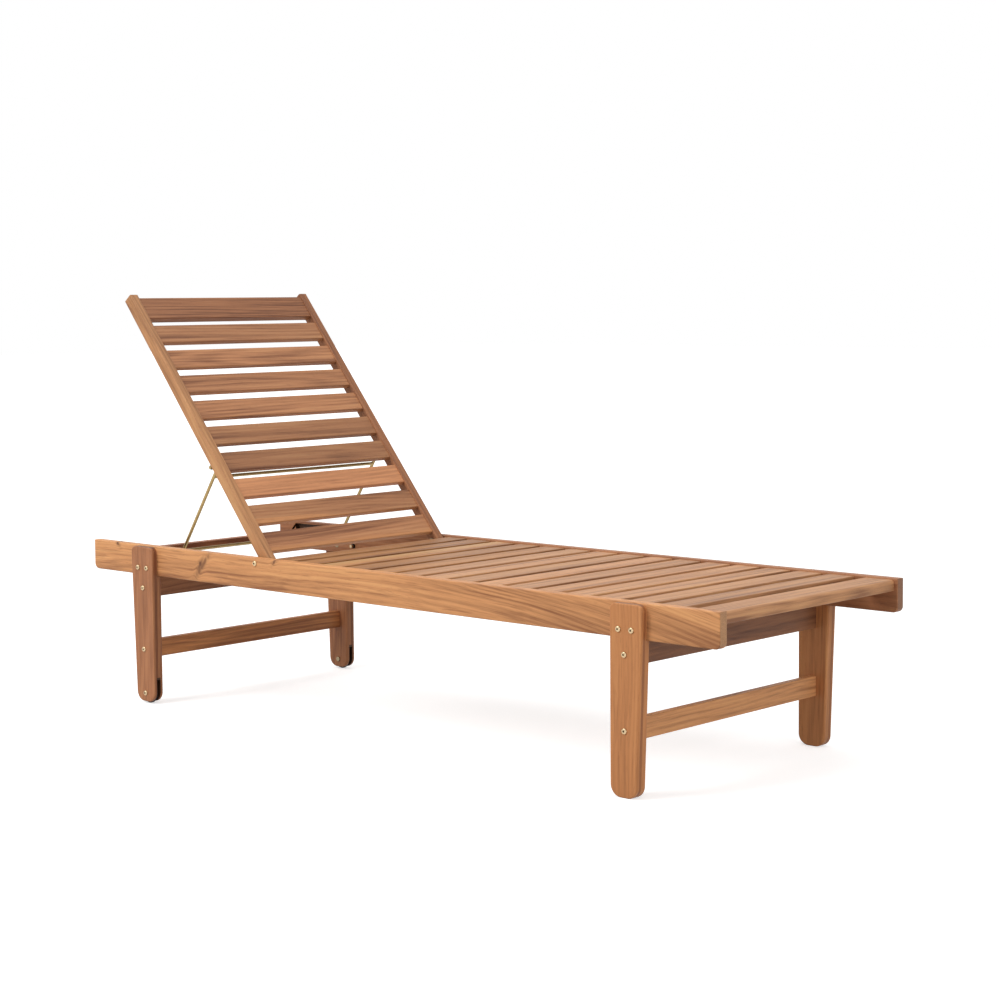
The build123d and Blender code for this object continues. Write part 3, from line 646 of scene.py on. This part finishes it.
def dress_seat():
    for number, brightness in enumerate(SEAT_SLAT_BRIGHTNESS, start=1):
        tone = shade(WARM_TAN if number <= WARM_SEAT_SLATS else SEAT_TAN, brightness)
        dress_wood(
            f"seat_slat_{number:02d}", tone, "across", SEAT_SEEDS + number,
            figure=SEAT_FIGURE, band=SEAT_BANDS.get(number), **SLAT_GRAIN,
        )


def dress_backrest():
    stiles = (
        ("back_stile_right", STILE_TAN, 41),
        ("back_stile_left", shade(BROWN, 0.86), 42),
    )
    for node, tone, seed in stiles:
        dress_wood(node, tone, "leaning", seed, figure=CALM_FIGURE)
    dress_wood("back_top_rail", shade(BROWN, 0.82), "across", 45, figure=BACK_FIGURE, **SLAT_GRAIN)
    for number, brightness in enumerate(BACK_SLAT_BRIGHTNESS, start=1):
        options = {"figure": BACK_FIGURE, "band": BACK_BANDS.get(number), **SLAT_GRAIN}
        if number == PLAIN_BACK_SLAT:
            options.update(figure=PLAIN_FIGURE, fine=PLAIN_FINE)
        tone = shade(BACK_TAN, brightness)
        dress_wood(f"back_slat_{number:02d}", tone, "across", BACK_SEEDS + number, **options)


def dress_fittings():
    leg_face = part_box("front_leg_left")[1].y
    rail_inside, rail_face = (corner.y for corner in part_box("side_rail_left"))
    rod = brass("brass_rod", ROD_BRASS, ROD_ROUGHNESS).material
    screw = brass("brass_screw", SCREW_BRASS, SCREW_ROUGHNESS).material
    nut = brass("brass_nut", NUT_BRASS, NUT_ROUGHNESS).material
    fittings = (
        (rod, ("bail_leg_right", "bail_leg_left", "bail_cross_rod", "bail_foot_rod")),
        (screw, ("bracket_screws",)),
        (nut, ("rail_nuts", "barrel_nuts", "pivot_nuts", "axle_nuts")),
        (socket_bolt("brass_leg_bolt", leg_face), ("rail_bolts", "cross_bolts", "axle_bolts")),
        (socket_bolt("brass_pivot_bolt", rail_face), ("pivot_bolts",)),
        (collared_pin("brass_stop_pin", rail_inside - STOP_PIN_COLLAR), ("rail_stop_pins",)),
        (moulded("black_nylon", *NYLON), ("pivot_spacers", "bail_brackets")),
        (moulded("black_wheel", *WHEEL), ("wheel_right", "wheel_left")),
    )
    for material, pieces in fittings:
        for node in pieces:
            dress(node, material)


def seen_directly(tree):
    """One for a ray from the camera, or one that a shiny or clear surface sends on; otherwise nought."""
    path = tree.nodes.new("ShaderNodeLightPath")
    seen = path.outputs["Is Camera Ray"]
    for kind in ("Is Glossy Ray", "Is Transmission Ray"):
        either = tree.nodes.new("ShaderNodeMath")
        either.operation = "MAXIMUM"
        tree.links.new(seen, either.inputs[0])
        tree.links.new(path.outputs[kind], either.inputs[1])
        seen = either.outputs[0]
    return seen


def make_floor():
    """Pale floor: white to the camera but for the object's soft shadow, and greyer as a source of light."""
    corners = [(x * FLOOR_REACH, y * FLOOR_REACH, 0) for x, y in ((-1, -1), (1, -1), (1, 1), (-1, 1))]
    mesh = bpy.data.meshes.new("floor")
    mesh.from_pydata(corners, [], [(0, 1, 2, 3)])
    floor = bpy.data.objects.new("floor", mesh)
    scene.collection.objects.link(floor)
    net = Net("pale_floor")
    seen = seen_directly(net.tree)
    matt = net.new("ShaderNodeBsdfDiffuse")
    net.put(matt.inputs["Color"], net.mix(seen, FLOOR_BOUNCE, FLOOR_COLOUR))
    glow = net.new("ShaderNodeEmission")
    distance = net.vector("LENGTH", net.place)
    lift = net.span(distance, FLOOR_NEAR, FLOOR_FAR, FLOOR_LIFT_NEAR, FLOOR_LIFT_FAR)
    net.put(glow.inputs["Strength"], net.math("MULTIPLY", lift, seen))
    both = net.new("ShaderNodeAddShader")
    net.put(both.inputs[0], matt.outputs[0])
    net.put(both.inputs[1], glow.outputs[0])
    net.put(net.tree.nodes["Material Output"].inputs["Surface"], both.outputs[0])
    net.tree.nodes.remove(net.shader)
    mesh.materials.append(net.material)


def make_light():
    """A white world that lights the object less than it shows, and the lamps."""
    world = bpy.data.worlds.new("studio")
    scene.world = world
    world.use_nodes = True
    tree = world.node_tree
    tree.nodes.clear()
    out = tree.nodes.new("ShaderNodeOutputWorld")
    choice = tree.nodes.new("ShaderNodeMixShader")
    tree.links.new(seen_directly(tree), choice.inputs[0])
    for socket, strength in zip(choice.inputs[1:], (AMBIENT, WHITE_BACKDROP)):
        background = tree.nodes.new("ShaderNodeBackground")
        background.inputs["Color"].default_value = (1, 1, 1, 1)
        background.inputs["Strength"].default_value = strength
        tree.links.new(background.outputs[0], socket)
    tree.links.new(choice.outputs[0], out.inputs["Surface"])
    for name, place, size, power in LAMPS:
        light = bpy.data.lights.new(name, "AREA")
        light.shape = "DISK"
        light.size = size
        light.energy = power
        lamp = bpy.data.objects.new(name, light)
        lamp.location = place
        lamp.rotation_euler = (LAMP_AIM - Vector(place)).to_track_quat("-Z", "Y").to_euler()
        scene.collection.objects.link(lamp)


def make_camera():
    data = bpy.data.cameras.new("photo_camera")
    data.sensor_width = SENSOR_MM
    data.sensor_fit = "HORIZONTAL"
    data.lens = SENSOR_MM * CAMERA_FOCAL_PIXELS / IMAGE_PIXELS
    data.shift_x, data.shift_y = CAMERA_SHIFT
    data.clip_end = CAMERA_REACH
    camera = bpy.data.objects.new("photo_camera", data)
    # A camera at rest looks down: roll it, tip it up to the pitch, then turn it about the vertical
    roll = Matrix.Rotation(math.radians(CAMERA_ROLL), 4, "Z")
    tip = Matrix.Rotation(math.radians(90 + CAMERA_PITCH), 4, "X")
    turn = Matrix.Rotation(math.radians(CAMERA_YAW), 4, "Z")
    camera.matrix_world = Matrix.Translation(CAMERA_PLACE) @ turn @ tip @ roll
    scene.collection.objects.link(camera)
    scene.camera = camera


make_camera()
make_light()
make_floor()
dress_rails()
dress_legs()
dress_cross_boards()
dress_seat()
dress_backrest()
dress_fittings()
scene.view_settings.view_transform = "Standard"
